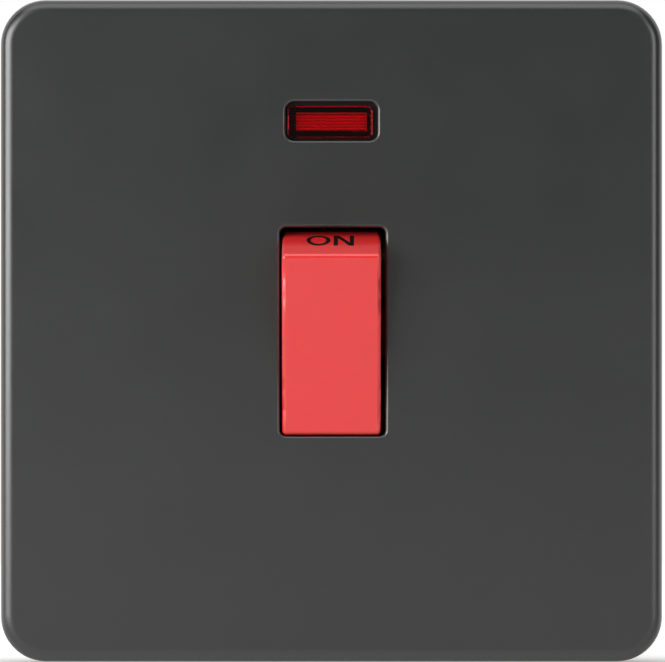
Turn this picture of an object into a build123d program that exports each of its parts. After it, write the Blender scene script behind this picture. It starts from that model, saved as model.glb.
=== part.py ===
from build123d import *
from math import cos, hypot, radians, sin, sqrt
import os

# Double pole switch for one gang: a rocker and a neon window in a screwless metal plate.
# X runs to the right seen from the front, the front faces -Y and Z is up. The wall's surface is
# the plane Y = 0. The origin is the middle of the rocker's pivot, behind the middle of the plate.
# The switch is drawn as it stands when it is on: the rocker's top end out, its bottom end in.

# Front plate, pressed from sheet steel
plate_side = 86.0
plate_depth = 4.8
plate_gauge = 0.8
plate_corner_r = 5.85
plate_edge_r = 1.6
opening_edge_r = 0.4
rocker_opening_r = 0.8
rocker_opening_x = 0.15
rocker_opening_drop = 0.13
neon_opening_r = 1.1
neon_z = 27.2

# Rocker, measured in its middle position
rocker_w = 12.8
paddle_drop = 0.34
crest_spacing = 23.7
end_draft = 1.5
skirt_depth = 1.0
end_bulge = 0.35
front_dish = 0.35
crest_r = 0.7
side_edge_r = 0.5
rocker_wall = 1.5
rocker_tilt = 12.0
crest_sink = 0.025
rocker_side_gap = 0.45
rocker_end_gap = 0.42

# Rocker's bearings, and the tubes that hold the plungers
trunnion_r = 1.75
trunnion_l = 2.7
hub_step = 0.35
bearing_clearance = 0.05
end_float = 0.3
tube_wall = 0.95
tube_floor = 1.2
tube_front = 1.5
tube_reach = 6.5

# Plungers and their springs
plunger_r = 2.2
plunger_clearance = 0.05
plunger_body_l = 3.7
plunger_sink = 0.2
nose_r = 1.6
spring_wire = 0.5
spring_turns = 4.0
spring_side_gap = 0.35

# See-saw contacts
pole_spacing = 15.2
contact_pivot_y = 10.5
contact_tilt = 10.0
contact_w = 6.6
contact_arm_t = 1.2
contact_end_margin = 0.4
contact_seat_gap = 0.2
knuckle_r = 4.2
knuckle_clearance = 0.05
saddle_angle = 30.0
contact_reach = 10.0
tip_r = 1.6
tip_t = 0.8
tip_shank_r = 0.8
tip_gap = 0.05
tip_edge_r = 0.25
arm_corner_r = 0.8

# Contact strips between the see-saws and the terminals
strip_t = 1.0
strip_w = 3.5
saddle_w = 5.4
saddle_h = 6.8
strip_drop = 3.6

# Terminals and their clamp screws
terminal_x = 15.4
terminal_w = 9.0
terminal_l = 11.0
terminal_z = 22.0
terminal_front_wall = 1.1
terminal_screw_wall = 5.3
cable_bore_r = 2.5
bore_chamfer = 0.4
strip_engagement = 3.0
clamp_screw_r = 2.0
clamp_screw_l = 7.5
clamp_clearance = 0.05
clamp_tip_gap = 0.1
slot_w = 0.8
slot_depth = 1.2
screw_chamfer = 0.3
hold_down_l = 3.8
hold_down_r = 2.2

# Switch housing: a cover in front and a base behind
case_wall = 1.6
cover_t = 1.8
cover_front_gap = 0.2
cover_front_wall = 1.3
boss_wall = 1.7
boss_corner_r = 1.5
boss_edge_r = 0.5
rocker_sweep_gap = 0.15
aperture_side_gap = 0.55
bearing_block_h = 9.0
bearing_rear_y = 3.2
terminal_side_gap = 0.5
terminal_end_gap = 0.9
case_corner_r = 2.0
case_edge_r = 1.0
well_depth = 3.4
well_wall = 1.4
well_clearance = 0.8
entry_clearance = 0.9
barrier_t = 2.0
barrier_front_y = 8.0
rib_t = 1.2
rib_front_y = 8.5
rib_gap = 0.1
bearing_rib_t = 4.4
tongue_gap = 0.2
tongue_top_gap = 0.1
stop_l = 2.6

# Body screws, which hold the yoke, the cover and the base together
body_screw_x = 19.4
body_screw_z = 12.6
body_screw_r = 1.45
body_screw_l = 10.2
body_screw_head_r = 2.4
body_screw_slot_w = 0.6
body_screw_slot_depth = 0.6
screw_hole_gap = 0.1
screw_post_wall = 0.85
screw_post_rest = 3.0

# Neon window
lens_w = 11.1
lens_h = 4.3
lens_corner_r = 0.7
lens_edge_r = 0.25
lens_side_gap = 0.4
lens_x = -0.2
lens_drop = 0.1
lens_end_gap = 0.35
lens_sink = 0.1
lens_lip = 0.6
lens_flange_t = 1.0
lens_fit_gap = 0.05
lens_wall = 0.9
lens_rib_count = 6
lens_rib_pitch = 0.4
lens_rib_w = 9.2
lens_rib_depth = 0.3
lamp_r = 2.5
lamp_l = 10.0
lamp_end_r = 1.2
lamp_gap = 0.1
neon_boss_side = 1.8
neon_boss_wall = 1.5
lead_r = 0.3
lead_bend_r = 0.5
lead_spacing = 1.6
lead_stub = 0.65
resistor_r = 1.2
resistor_l = 6.4
resistor_waist_r = 1.0
resistor_y = 4.9
resistor_z = 23.0
lead_end_y = 7.5
live_lead_end_z = 26.0

# Yoke, folded from zinc plated steel
yoke_gauge = 1.2
yoke_corner_r = 4.0
yoke_bend_r = 0.8
flange_l = 58.0
flange_gap = 0.5
yoke_boss_gap = 0.8
fixing_spacing = 60.3
fixing_slot_l = 6.5
fixing_slot_w = 3.9

# Spring clips on the yoke's flanges, and the moulded liner that snaps over them
clip_t = 0.3
clip_w = 10.0
clip_bulge = 0.7
clip_leg = 1.15
clip_half = 1.0
clip_bend_r = 0.2
liner_web = 1.2
liner_wall = 2.05
liner_gap = 0.05
liner_edge_r = 1.0
liner_rear_y = -0.4
liner_to_yoke = 0.6
liner_boss_gap = 1.0
recess_depth = 0.6
recess_side_gap = 1.0
recess_half = 0.7

# Earth terminal, riveted to the yoke
earth_x = 29.5
earth_z = -24.0
earth_w = 8.0
earth_l = 9.0
earth_front_wall = 2.4
earth_screw_wall = 4.0
earth_bore_r = 2.0
earth_screw_r = 1.75
earth_screw_l = 6.0
earth_rivet_r = 1.8

# Places that follow from the sizes above
plate_inner_y = plate_gauge - plate_depth
plate_inner_half = plate_side / 2 - plate_gauge
cos_tilt = cos(radians(rocker_tilt))
sin_tilt = sin(radians(rocker_tilt))
half_crest = crest_spacing / 2
crest_height = (plate_depth - crest_sink + half_crest * sin_tilt) / cos_tilt
skirt_z = half_crest + end_draft
rocker_reach = hypot(half_crest, crest_height)
pressed_crest_z = half_crest * cos_tilt + crest_height * sin_tilt
rocker_opening_w = rocker_w + 2 * rocker_side_gap
rocker_opening_h = 2 * (pressed_crest_z + rocker_end_gap)
neon_opening_w = lens_w + 2 * lens_side_gap
neon_opening_h = lens_h + 2 * lens_end_gap

pole_x = pole_spacing / 2
tube_bore_r = plunger_r + plunger_clearance
tube_r = tube_bore_r + tube_wall
hub_half = pole_x + tube_r + rib_gap
hub_r = trunnion_r + hub_step
bearing_in_x = hub_half + end_float
trunnion_end_x = hub_half + trunnion_l
bearing_out_x = trunnion_end_x + end_float
spring_front_y = tube_floor - tube_front
plunger_front_y = tube_reach - plunger_sink - plunger_body_l
nose_start_y = tube_reach - plunger_sink

valley_r = nose_r + contact_seat_gap
contact_arm_l = contact_reach + tip_r + contact_end_margin
arm_rear = valley_r + contact_arm_t
tip_face_y = contact_pivot_y + arm_rear + tip_t
fixed_tip_front_y = tip_face_y + tip_gap
strip_front_y = fixed_tip_front_y + tip_t
strip_rear_y = strip_front_y + strip_t
saddle_r = knuckle_r + knuckle_clearance
saddle_front_y = contact_pivot_y + saddle_r * cos(radians(saddle_angle))

boss_front_y = plate_inner_y + cover_front_gap
boss_inner_y = boss_front_y + cover_front_wall
aperture_half_w = rocker_w / 2 + aperture_side_gap
aperture_half_h = rocker_reach + rocker_sweep_gap
boss_half_w = bearing_out_x + boss_wall
boss_half_h = aperture_half_h + boss_wall
neon_cavity_w = lens_w + 2 * lens_lip
neon_boss_half_w = neon_cavity_w / 2 + neon_boss_side
neon_boss_half_h = lamp_r + neon_boss_wall

terminal_front_y = cover_t + hold_down_l
cable_y = terminal_front_y + terminal_front_wall + cable_bore_r
terminal_rear_y = cable_y + cable_bore_r + terminal_screw_wall
terminal_in_z = terminal_z - terminal_l / 2
terminal_out_z = terminal_z + terminal_l / 2
floor_y = terminal_rear_y + well_depth
base_rear_y = floor_y + case_wall
case_half_w = terminal_x + terminal_w / 2 + terminal_side_gap + case_wall
case_bottom_z = -(terminal_out_z + terminal_end_gap + case_wall)
case_top_z = neon_z + neon_boss_half_h
case_h = case_top_z - case_bottom_z
case_mid_z = (case_top_z + case_bottom_z) / 2
cavity_half_w = case_half_w - case_wall

liner_side = 2 * (plate_inner_half - liner_gap)
liner_bore = liner_side - 2 * liner_wall
yoke_side = liner_bore - 2 * liner_to_yoke
liner_web_rear_y = plate_inner_y + liner_web
flange_front_y = liner_web_rear_y + flange_gap
clip_front_y = flange_front_y - clip_t / 2
earth_bore_y = earth_front_wall + earth_bore_r
earth_rear_y = earth_bore_y + earth_bore_r + earth_screw_wall

lens_z = neon_z - lens_drop
lens_front_y = lens_sink - plate_depth
lens_flange_y = boss_front_y + lens_wall
lens_rear_y = lens_flange_y + lens_flange_t
lamp_y = lens_rear_y + lamp_gap + lamp_r

poles = {"live": 1, "neutral": -1}
ends = {"load": 1, "supply": -1}
body_screw_points = [(sx * body_screw_x, sz * body_screw_z) for sx in (-1, 1) for sz in (-1, 1)]
terminal_points = [(sx * terminal_x, sz * terminal_z) for sx in (-1, 1) for sz in (-1, 1)]

# Directions of the tilted rocker and see-saws, as they stand when the switch is on
rocker_rear = Vector(0, cos_tilt, sin_tilt)
rocker_up = Vector(0, -sin_tilt, cos_tilt)
contact_rear = Vector(0, cos(radians(contact_tilt)), -sin(radians(contact_tilt)))


def wall_plane(y):
    """A plane parallel to the wall at this depth, with its normal to the front."""
    return Plane.XZ.offset(-y)


def rocker_section(x, up=0.0):
    """The rocker's own section plane: its rear, its top, and X for a normal."""
    return Plane(origin=Vector(x, 0, 0) + rocker_up * up, x_dir=rocker_rear, z_dir=(1, 0, 0))


def contact_section(x):
    """A see-saw's own section plane, with its pivot for an origin."""
    return Plane(origin=(x, contact_pivot_y, 0), x_dir=contact_rear, z_dir=(1, 0, 0))


def save(piece, name):
    """Label a finished piece and write its file."""
    piece.label = name
    export_step(piece, f"parts/{name}.step")


def paddle_outline(inset, rear_y):
    """The rocker's side view, drawn a wall's thickness further in for its hollow."""
    crest = half_crest - inset
    skirt = skirt_z - inset
    crest_y = inset - crest_height
    middle_y = (crest_y + rear_y) / 2
    middle_z = (crest + skirt) / 2 + end_bulge
    with BuildSketch(rocker_section(0, -paddle_drop)) as outline:
        with BuildLine():
            ThreePointArc((crest_y, -crest), (crest_y + front_dish, 0), (crest_y, crest))
            top = ThreePointArc((crest_y, crest), (middle_y, middle_z), (rear_y, skirt))
            bottom = ThreePointArc((crest_y, -crest), (middle_y, -middle_z), (rear_y, -skirt))
            Line(top @ 1, bottom @ 1)
        make_face()
    return outline.sketch


def spring_clip(angle):
    """A spring clip folded over the yoke's flange at this angle round the plate."""
    across = Vector(0, 0, 1).rotate(Axis.Y, angle)
    flange_face = yoke_side / 2
    leg_rear_y = clip_front_y + clip_leg
    with BuildPart() as clip:
        with BuildSketch(Plane(origin=(0, 0, 0), x_dir=(0, 1, 0), z_dir=Vector(0, 1, 0).cross(across))):
            with BuildLine():
                FilletPolyline(
                    (leg_rear_y, flange_face - yoke_gauge - clip_t / 2),
                    (clip_front_y, flange_face - yoke_gauge - clip_t / 2),
                    (clip_front_y, flange_face + clip_t / 2),
                    (clip_front_y + clip_half, flange_face + clip_t / 2 + clip_bulge),
                    (clip_front_y + 2 * clip_half, flange_face + clip_t / 2),
                    radius=clip_bend_r,
                )
            trace(line_width=clip_t)
        extrude(amount=clip_w / 2, both=True)
    return clip.part


def plunger(x):
    """A moulded plunger that slides in the rocker's tube, with a round nose."""
    middle = cos(radians(45)) * nose_r
    with BuildPart() as body:
        with BuildSketch(rocker_section(x)):
            with BuildLine():
                Polyline(
                    (contact_pivot_y + nose_r, 0),
                    (plunger_front_y, 0),
                    (plunger_front_y, plunger_r),
                    (nose_start_y, plunger_r),
                    (nose_start_y, nose_r),
                    (contact_pivot_y, nose_r),
                )
                ThreePointArc(
                    (contact_pivot_y, nose_r),
                    (contact_pivot_y + middle, middle),
                    (contact_pivot_y + nose_r, 0),
                )
            make_face()
        revolve(axis=Axis((x, 0, 0), rocker_rear))
    return body.part


def plunger_spring(x):
    """The coil spring between the tube's floor and the plunger."""
    pitch = (plunger_front_y - spring_front_y - spring_wire) / spring_turns
    start = Vector(x, 0, 0) + rocker_rear * (spring_front_y + spring_wire / 2)
    coil_r = plunger_r - spring_side_gap - spring_wire / 2
    with BuildPart() as spring:
        with BuildLine() as path:
            Helix(pitch, pitch * spring_turns, coil_r, center=start, direction=rocker_rear)
        with BuildSketch(Plane(origin=path.line @ 0, z_dir=path.line % 0)):
            Circle(spring_wire / 2)
        sweep(is_frenet=True)
    return spring.part


def see_saw(x):
    """A copper strip bent to a shallow V, with a knuckle behind its bend to rock on."""
    lean = radians(contact_tilt)
    knuckle_start = sqrt(knuckle_r**2 - arm_rear**2)

    def on_arm(along, behind, up):
        return (behind * cos(lean) - along * sin(lean), up * (along * cos(lean) + behind * sin(lean)))

    with BuildPart() as contact:
        with BuildSketch(contact_section(x)):
            with BuildLine():
                Line(on_arm(0, valley_r, 1), on_arm(contact_arm_l, valley_r, 1))
                Line(on_arm(contact_arm_l, valley_r, 1), on_arm(contact_arm_l, arm_rear, 1))
                Line(on_arm(contact_arm_l, arm_rear, 1), on_arm(knuckle_start, arm_rear, 1))
                ThreePointArc(
                    on_arm(knuckle_start, arm_rear, 1), (knuckle_r, 0), on_arm(knuckle_start, arm_rear, -1)
                )
                Line(on_arm(knuckle_start, arm_rear, -1), on_arm(contact_arm_l, arm_rear, -1))
                Line(on_arm(contact_arm_l, arm_rear, -1), on_arm(contact_arm_l, valley_r, -1))
                Line(on_arm(contact_arm_l, valley_r, -1), on_arm(0, valley_r, -1))
                ThreePointArc(on_arm(0, valley_r, -1), (valley_r, 0), on_arm(0, valley_r, 1))
            make_face()
        extrude(amount=contact_w / 2, both=True)
        arm_ends = contact.edges().filter_by(Axis.Y, tolerance=25).filter_by(GeomType.LINE)
        fillet(arm_ends.filter_by(lambda edge: abs(edge.center().Z) > contact_reach), arm_corner_r)
        with BuildSketch(wall_plane(contact_pivot_y + arm_rear)):
            with Locations((x, contact_reach)):
                Circle(tip_shank_r)
        extrude(amount=contact_arm_t, mode=Mode.SUBTRACT)
    return contact.part


def silver_tip(x, face_y, back_y, shank_l):
    """A contact tip: a disc with its face at face_y, riveted through what lies at back_y."""
    toward_front = face_y - back_y
    with BuildPart() as tip:
        with BuildSketch(wall_plane(back_y)):
            with Locations((x, contact_reach)):
                Circle(tip_r)
        extrude(amount=-toward_front)
        face = tip.faces().sort_by(Axis.Y)[-1 if toward_front > 0 else 0]
        fillet(face.edges(), tip_edge_r)
        with BuildSketch(wall_plane(back_y)):
            with Locations((x, contact_reach)):
                Circle(tip_shank_r)
        extrude(amount=shank_l if toward_front > 0 else -shank_l)
    return tip.part


def fulcrum_strip(side):
    """The supply terminal's strip, whose hollowed saddle the see-saw rocks in."""
    leg_end = -(terminal_in_z + strip_engagement)
    band_top = -saddle_h / 2
    band_bottom = band_top - strip_drop
    pad_in = pole_x - saddle_w / 2
    leg_in = terminal_x - strip_w / 2
    leg_out = terminal_x + strip_w / 2
    with BuildPart() as strip:
        with BuildSketch(wall_plane(strip_rear_y)):
            with BuildLine():
                Polyline(
                    (side * pad_in, band_top),
                    (side * leg_out, band_top),
                    (side * leg_out, leg_end),
                    (side * leg_in, leg_end),
                    (side * leg_in, band_bottom),
                    (side * pad_in, band_bottom),
                    close=True,
                )
            make_face()
        extrude(amount=strip_t)
        with BuildSketch(wall_plane(strip_rear_y)):
            with Locations((side * pole_x, 0)):
                Rectangle(saddle_w, saddle_h)
        extrude(amount=strip_rear_y - saddle_front_y)
        with BuildSketch(Plane.YZ.offset(side * pole_x)):
            with Locations((contact_pivot_y, 0)):
                Circle(saddle_r)
        extrude(amount=saddle_w, both=True, mode=Mode.SUBTRACT)
    return strip.part


def contact_strip(side):
    """The load terminal's strip, which carries the fixed tip."""
    foot_bottom = contact_reach - strip_w / 2
    foot_top = contact_reach + strip_w / 2
    foot_in = pole_x - strip_w / 2
    leg_in = terminal_x - strip_w / 2
    leg_out = terminal_x + strip_w / 2
    leg_end = terminal_in_z + strip_engagement
    with BuildPart() as strip:
        with BuildSketch(wall_plane(strip_rear_y)):
            with BuildLine():
                Polyline(
                    (side * foot_in, foot_bottom),
                    (side * leg_out, foot_bottom),
                    (side * leg_out, leg_end),
                    (side * leg_in, leg_end),
                    (side * leg_in, foot_top),
                    (side * foot_in, foot_top),
                    close=True,
                )
            make_face()
            with Locations((side * pole_x, contact_reach)):
                Circle(tip_shank_r, mode=Mode.SUBTRACT)
        extrude(amount=strip_t)
    return strip.part


def terminal_block(side, end):
    """A drawn brass block: a cable bore along Z, a tapped hole from behind, a slot for its strip."""
    x = side * terminal_x
    z = end * terminal_z
    with BuildPart() as block:
        with BuildSketch(wall_plane(terminal_rear_y)):
            with Locations((x, z)):
                Rectangle(terminal_w, terminal_l)
        extrude(amount=terminal_rear_y - terminal_front_y)
        chamfer(block.edges().filter_by(Axis.Z), bore_chamfer)
        with BuildSketch(Plane.XY.offset(z)):
            with Locations((x, cable_y)):
                Circle(cable_bore_r)
        extrude(amount=terminal_l, both=True, mode=Mode.SUBTRACT)
        bore_rims = block.edges().filter_by(GeomType.CIRCLE)
        chamfer(bore_rims, bore_chamfer)
        with BuildSketch(wall_plane(terminal_rear_y)):
            with Locations((x, z)):
                Circle(clamp_screw_r + clamp_clearance)
        extrude(amount=terminal_rear_y - cable_y, mode=Mode.SUBTRACT)
        with BuildSketch(wall_plane(strip_rear_y)):
            with Locations((x, end * (terminal_in_z + strip_engagement / 2))):
                Rectangle(strip_w, strip_engagement)
        extrude(amount=strip_t, mode=Mode.SUBTRACT)
    return block.part


def clamp_screw(x, z, radius, length, tip_y):
    """A headless slotted clamp screw, its tip to the front."""
    with BuildPart() as screw:
        with BuildSketch(wall_plane(tip_y + length)):
            with Locations((x, z)):
                Circle(radius)
        extrude(amount=length)
        chamfer(screw.edges().filter_by(GeomType.CIRCLE), screw_chamfer)
        with BuildSketch(wall_plane(tip_y + length)):
            with Locations((x, z)):
                Rectangle(2 * radius, slot_w)
        extrude(amount=slot_depth, mode=Mode.SUBTRACT)
    return screw.part


def body_screw(x, z):
    """A countersunk screw through the yoke and the cover into the base."""
    head_y = -yoke_gauge
    end_y = head_y + body_screw_l
    shank_y = head_y + body_screw_head_r - body_screw_r
    with BuildPart() as screw:
        with BuildSketch(Plane(origin=(x, 0, z), x_dir=(0, 1, 0), z_dir=(1, 0, 0))):
            with BuildLine():
                Polyline(
                    (head_y, 0),
                    (head_y, body_screw_head_r),
                    (shank_y, body_screw_r),
                    (end_y - body_screw_r, body_screw_r),
                    (end_y, 0),
                    close=True,
                )
            make_face()
        revolve(axis=Axis((x, 0, z), (0, 1, 0)))
        with BuildSketch(wall_plane(head_y + body_screw_slot_depth)):
            with Locations((x, z)):
                Rectangle(2 * body_screw_head_r, body_screw_slot_w)
        extrude(amount=body_screw_slot_depth, mode=Mode.SUBTRACT)
    return screw.part


def lead(points):
    """A bare wire lead, bent through these points."""
    with BuildPart() as wire:
        with BuildLine() as path:
            FilletPolyline(*points, radius=lead_bend_r)
        with BuildSketch(Plane(origin=path.line @ 0, z_dir=path.line % 0)):
            Circle(lead_r)
        sweep()
    return wire.part


os.makedirs("parts", exist_ok=True)

# Front plate
with BuildPart() as front_plate:
    with BuildSketch(wall_plane(0)):
        RectangleRounded(plate_side, plate_side, plate_corner_r)
    extrude(amount=plate_depth)
    fillet(front_plate.faces().sort_by(Axis.Y)[0].edges(), plate_edge_r)
    offset(amount=-plate_gauge, openings=front_plate.faces().sort_by(Axis.Y)[-1])
    with BuildSketch(wall_plane(0)):
        with Locations((rocker_opening_x, -rocker_opening_drop)):
            RectangleRounded(rocker_opening_w, rocker_opening_h, rocker_opening_r)
        with Locations((0, neon_z)):
            RectangleRounded(neon_opening_w, neon_opening_h, neon_opening_r)
    extrude(amount=plate_depth, mode=Mode.SUBTRACT)
    front_face = front_plate.faces().sort_by(Axis.Y)[0]
    fillet([edge for wire in front_face.inner_wires() for edge in wire.edges()], opening_edge_r)
save(front_plate.part, "front_plate")

# Moulded liner inside the front plate
with BuildPart() as plate_liner:
    with BuildSketch(wall_plane(liner_rear_y)):
        RectangleRounded(liner_side, liner_side, plate_corner_r - plate_gauge)
    extrude(amount=liner_rear_y - plate_inner_y)
    fillet(plate_liner.faces().sort_by(Axis.Y)[0].edges(), liner_edge_r)
    with BuildSketch(wall_plane(liner_rear_y)):
        RectangleRounded(liner_bore, liner_bore, yoke_corner_r)
    extrude(amount=liner_rear_y - liner_web_rear_y, mode=Mode.SUBTRACT)
    with BuildSketch(wall_plane(liner_rear_y)):
        Rectangle(2 * (boss_half_w + liner_boss_gap), 2 * (boss_half_h + liner_boss_gap))
        with Locations((0, neon_z)):
            Rectangle(2 * (neon_boss_half_w + liner_boss_gap), 2 * (neon_boss_half_h + liner_boss_gap))
    extrude(amount=plate_depth, mode=Mode.SUBTRACT)
    with BuildSketch(wall_plane(clip_front_y + clip_half + recess_half)):
        with PolarLocations(liner_bore / 2, 4):
            Rectangle(2 * recess_depth, clip_w + 2 * recess_side_gap)
    extrude(amount=2 * recess_half, mode=Mode.SUBTRACT)
save(plate_liner.part, "plate_liner")

# Yoke
with BuildPart() as yoke:
    with BuildSketch(wall_plane(0)):
        RectangleRounded(yoke_side, yoke_side, yoke_corner_r)
    extrude(amount=yoke_gauge)
    with BuildSketch(wall_plane(0)):
        with PolarLocations((yoke_side - yoke_gauge) / 2, 4):
            Rectangle(yoke_gauge, flange_l)
    extrude(amount=-flange_front_y)
    fillet(yoke.faces().sort_by(Axis.Y)[-1].edges(), yoke_bend_r)
    with BuildSketch(wall_plane(0)):
        Rectangle(2 * (boss_half_w + yoke_boss_gap), 2 * (boss_half_h + yoke_boss_gap))
        with Locations((0, neon_z)):
            Rectangle(2 * (neon_boss_half_w + yoke_boss_gap), 2 * (neon_boss_half_h + yoke_boss_gap))
        with GridLocations(fixing_spacing, 0, 2, 1):
            SlotOverall(fixing_slot_l, fixing_slot_w)
        with Locations((earth_x, earth_z)):
            Circle(earth_rivet_r)
    extrude(amount=yoke_gauge, mode=Mode.SUBTRACT)
    with Locations(*[Plane(origin=(x, -yoke_gauge, z), z_dir=(0, -1, 0)) for x, z in body_screw_points]):
        CounterSinkHole(
            body_screw_r + screw_hole_gap,
            body_screw_head_r,
            depth=yoke_gauge,
            counter_sink_angle=90,
        )
save(yoke.part, "yoke")

for place, angle in {"top": 0, "right": 90, "bottom": 180, "left": 270}.items():
    save(spring_clip(angle), f"plate_clip_{place}")

# Cover: the front half of the switch's housing
with BuildPart() as switch_cover:
    with BuildSketch(wall_plane(cover_t)):
        with Locations((0, case_mid_z)):
            RectangleRounded(2 * case_half_w, case_h, case_corner_r)
    extrude(amount=cover_t)
    with BuildSketch(wall_plane(0)):
        RectangleRounded(2 * boss_half_w, 2 * boss_half_h, boss_corner_r)
        with Locations((0, neon_z)):
            RectangleRounded(2 * neon_boss_half_w, 2 * neon_boss_half_h, boss_corner_r)
    extrude(amount=-boss_front_y)
    boss_faces = switch_cover.faces().group_by(Axis.Y)[0]
    fillet(boss_faces.edges(), boss_edge_r)
    with BuildSketch(wall_plane(cover_t)):
        with Locations((0, -paddle_drop)):
            Rectangle(2 * bearing_out_x, 2 * aperture_half_h)
    extrude(amount=cover_t - boss_inner_y, mode=Mode.SUBTRACT)
    with BuildSketch(wall_plane(cover_t)):
        with Locations((0, neon_z)):
            Rectangle(neon_cavity_w, 2 * lamp_r)
    extrude(amount=cover_t - lens_flange_y, mode=Mode.SUBTRACT)
    with BuildSketch(wall_plane(bearing_rear_y)):
        with GridLocations(bearing_in_x + bearing_out_x, 0, 2, 1):
            Rectangle(bearing_out_x - bearing_in_x, bearing_block_h)
    extrude(amount=bearing_rear_y - boss_inner_y)
    with BuildSketch(Plane.YZ):
        Circle(trunnion_r + bearing_clearance)
        with Locations((bearing_rear_y / 2, 0)):
            Rectangle(bearing_rear_y, 2 * (trunnion_r + bearing_clearance))
    extrude(amount=bearing_out_x, both=True, mode=Mode.SUBTRACT)
    with BuildSketch(wall_plane(0)):
        with Locations((0, -paddle_drop)):
            Rectangle(2 * aperture_half_w, 2 * aperture_half_h)
        with Locations((lens_x, lens_z)):
            RectangleRounded(lens_w + 2 * lens_fit_gap, lens_h + 2 * lens_fit_gap, lens_corner_r)
    extrude(amount=-boss_front_y, mode=Mode.SUBTRACT)
    with BuildSketch(wall_plane(terminal_front_y)):
        with Locations(*terminal_points):
            Circle(hold_down_r)
    extrude(amount=hold_down_l)
    with Locations(*[Plane(origin=(x, 0, z), z_dir=(0, -1, 0)) for x, z in body_screw_points]):
        Hole(body_screw_r + screw_hole_gap, depth=cover_t)
save(switch_cover.part, "switch_cover")

# Rocker: one moulding with its hub, trunnions and plunger tubes
with BuildPart() as rocker:
    extrude(paddle_outline(0, skirt_depth), amount=rocker_w / 2, both=True)
    fillet(rocker.edges().filter_by(Axis.X).sort_by(Axis.Y)[:2], crest_r)
    side_edges = rocker.faces().filter_by(Axis.X).edges()
    rear_edges = rocker.faces().sort_by(Axis.Y)[-1].edges()
    fillet(side_edges.filter_by(lambda edge: edge not in rear_edges), side_edge_r)
    extrude(
        paddle_outline(rocker_wall, skirt_depth + rocker_wall),
        amount=rocker_w / 2 - rocker_wall,
        both=True,
        mode=Mode.SUBTRACT,
    )
    with BuildSketch(rocker_section(0)):
        with Locations(((rocker_wall - crest_height) / 2, 0)):
            Rectangle(crest_height - rocker_wall, rocker_wall)
    extrude(amount=rocker_w / 2 - rocker_wall, both=True)
    with BuildSketch(rocker_section(0)):
        Circle(hub_r)
    extrude(amount=hub_half, both=True)
    with BuildSketch(rocker_section(0)):
        Circle(trunnion_r)
    extrude(amount=trunnion_end_x, both=True)
    for x in (-pole_x, pole_x):
        with BuildSketch(Plane(origin=Vector(x, 0, 0) - rocker_rear * tube_front, z_dir=rocker_rear)):
            Circle(tube_r)
        extrude(amount=tube_front + tube_reach)
        with BuildSketch(Plane(origin=Vector(x, 0, 0) + rocker_rear * spring_front_y, z_dir=rocker_rear)):
            Circle(tube_bore_r)
        extrude(amount=tube_reach - spring_front_y, mode=Mode.SUBTRACT)
save(rocker.part, "rocker")

for pole, side in poles.items():
    x = side * pole_x
    save(plunger(x), f"plunger_{pole}")
    save(plunger_spring(x), f"plunger_spring_{pole}")
    save(see_saw(x), f"see_saw_{pole}")
    save(silver_tip(x, tip_face_y, tip_face_y - tip_t, contact_arm_t), f"moving_tip_{pole}")
    save(silver_tip(x, fixed_tip_front_y, strip_front_y, strip_t), f"fixed_tip_{pole}")
    save(fulcrum_strip(side), f"fulcrum_strip_{pole}")
    save(contact_strip(side), f"contact_strip_{pole}")
    for end, way in ends.items():
        clamp_tip_y = cable_y + cable_bore_r + clamp_tip_gap
        save(terminal_block(side, way), f"terminal_{end}_{pole}")
        screw = clamp_screw(side * terminal_x, way * terminal_z, clamp_screw_r, clamp_screw_l, clamp_tip_y)
        save(screw, f"clamp_screw_{end}_{pole}")

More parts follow.
